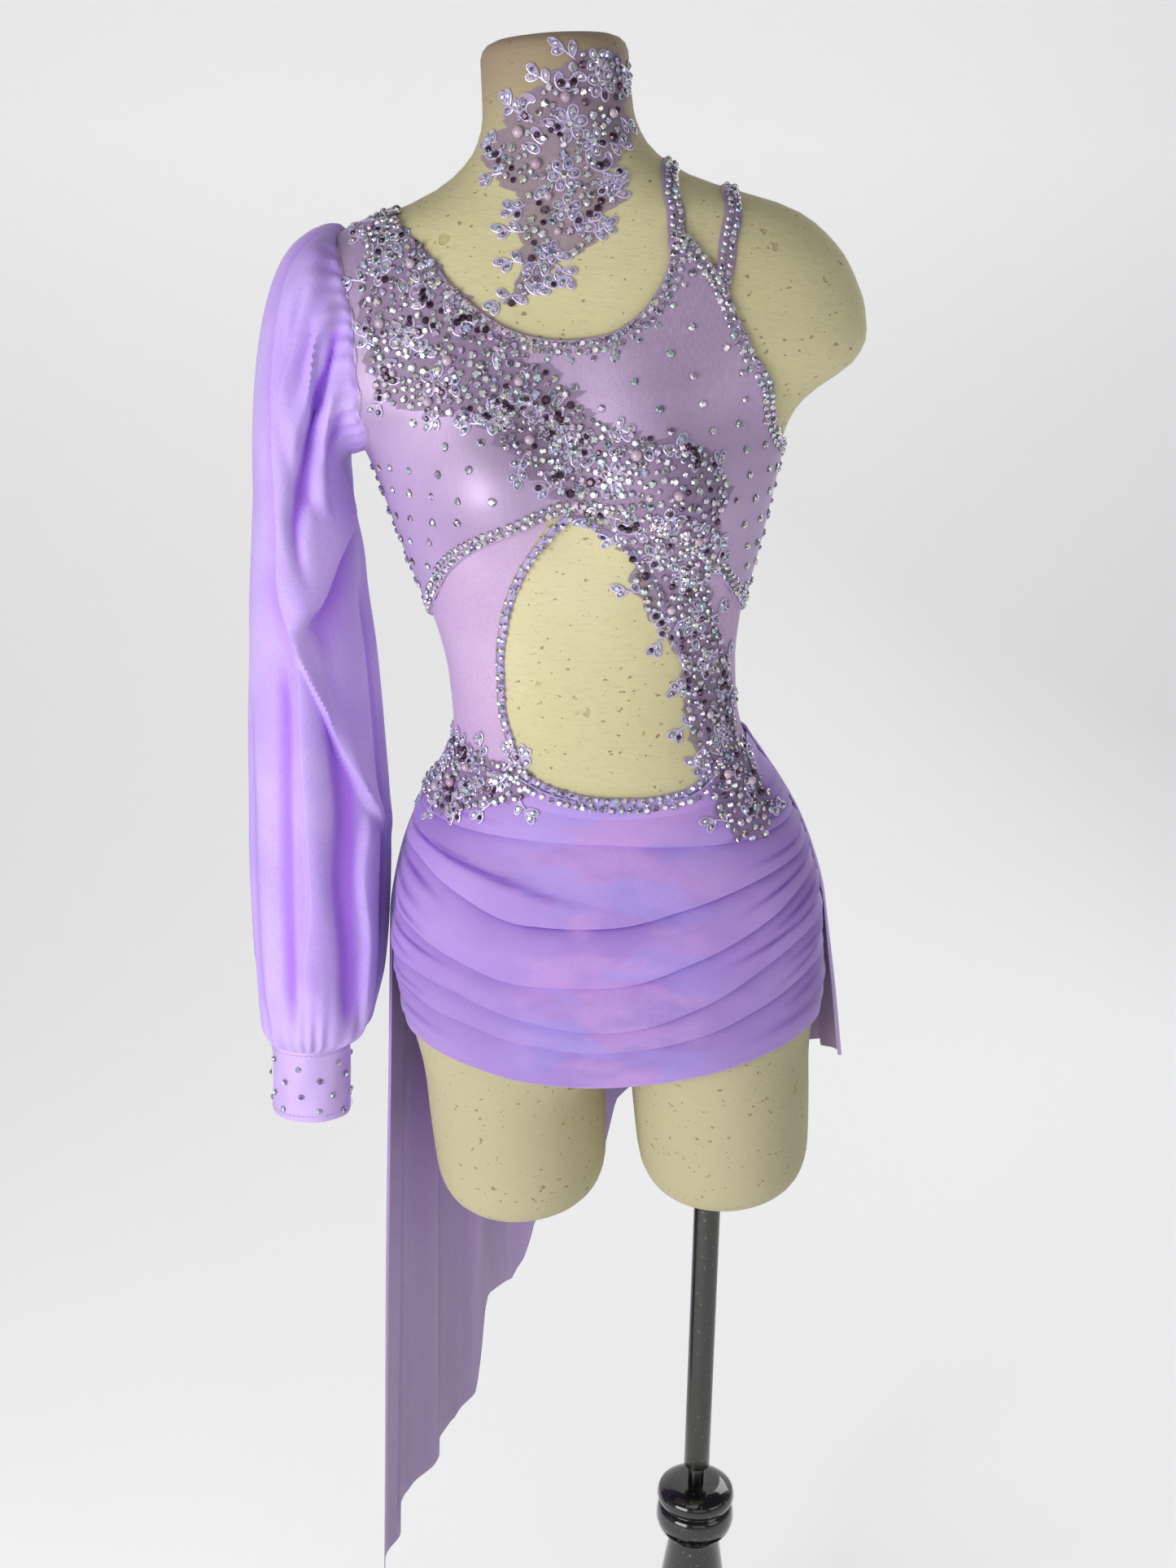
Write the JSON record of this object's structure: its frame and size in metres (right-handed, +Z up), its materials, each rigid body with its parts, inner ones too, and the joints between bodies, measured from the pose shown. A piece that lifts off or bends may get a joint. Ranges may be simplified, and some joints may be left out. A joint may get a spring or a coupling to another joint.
{
  "type": "lyrical dance costume on a limbless dress form with a stand",
  "caption": "Lyrical dance costume with a long gathered sleeve, cut-out waist, ruched skirt, long back skirt and beaded lace, on a limbless dress form and stand.",
  "frame": {"origin": "on the floor, at the middle of the stand's round foot, on the pole's axis", "axes": "+Z up, -Y the way the wearer faces, +X the wearer's left"},
  "size_m": [0.5717, 0.39, 1.5154],
  "materials": {
    "linen": "pasted linen, brown specks",
    "dark_chrome": "polished, darkened",
    "black_gloss": "black gloss",
    "mauve_satin": "shiny stretch satin with scattered stones",
    "sheer_mesh": "sheer pale mesh",
    "lilac_binding": "folded lilac binding with stones",
    "lilac_mesh": "bright lilac power mesh",
    "corded_lace": "corded lace thick with stones and pearls"
  },
  "bodies": {
    "root": {"form": "linen", "pole": "dark_chrome", "pole_rod": "dark_chrome", "stand_column": "black_gloss", "stand_foot": "black_gloss", "bodice_front": "mauve_satin", "bodice_back": "mauve_satin", "cuff": "mauve_satin", "mesh_side_right": "sheer_mesh", "mesh_side_left": "sheer_mesh", "mesh_back": "sheer_mesh", "cut_out_binding": "lilac_binding", "hip_band": "lilac_mesh", "skirt_front": "lilac_mesh", "skirt_back": "lilac_mesh", "sleeve": "lilac_mesh", "strap_inner": "lilac_binding", "strap_outer": "lilac_binding", "lace_main": "corded_lace", "lace_hip": "corded_lace", "lace_neck": "corded_lace"}
  },
  "joints": []
}
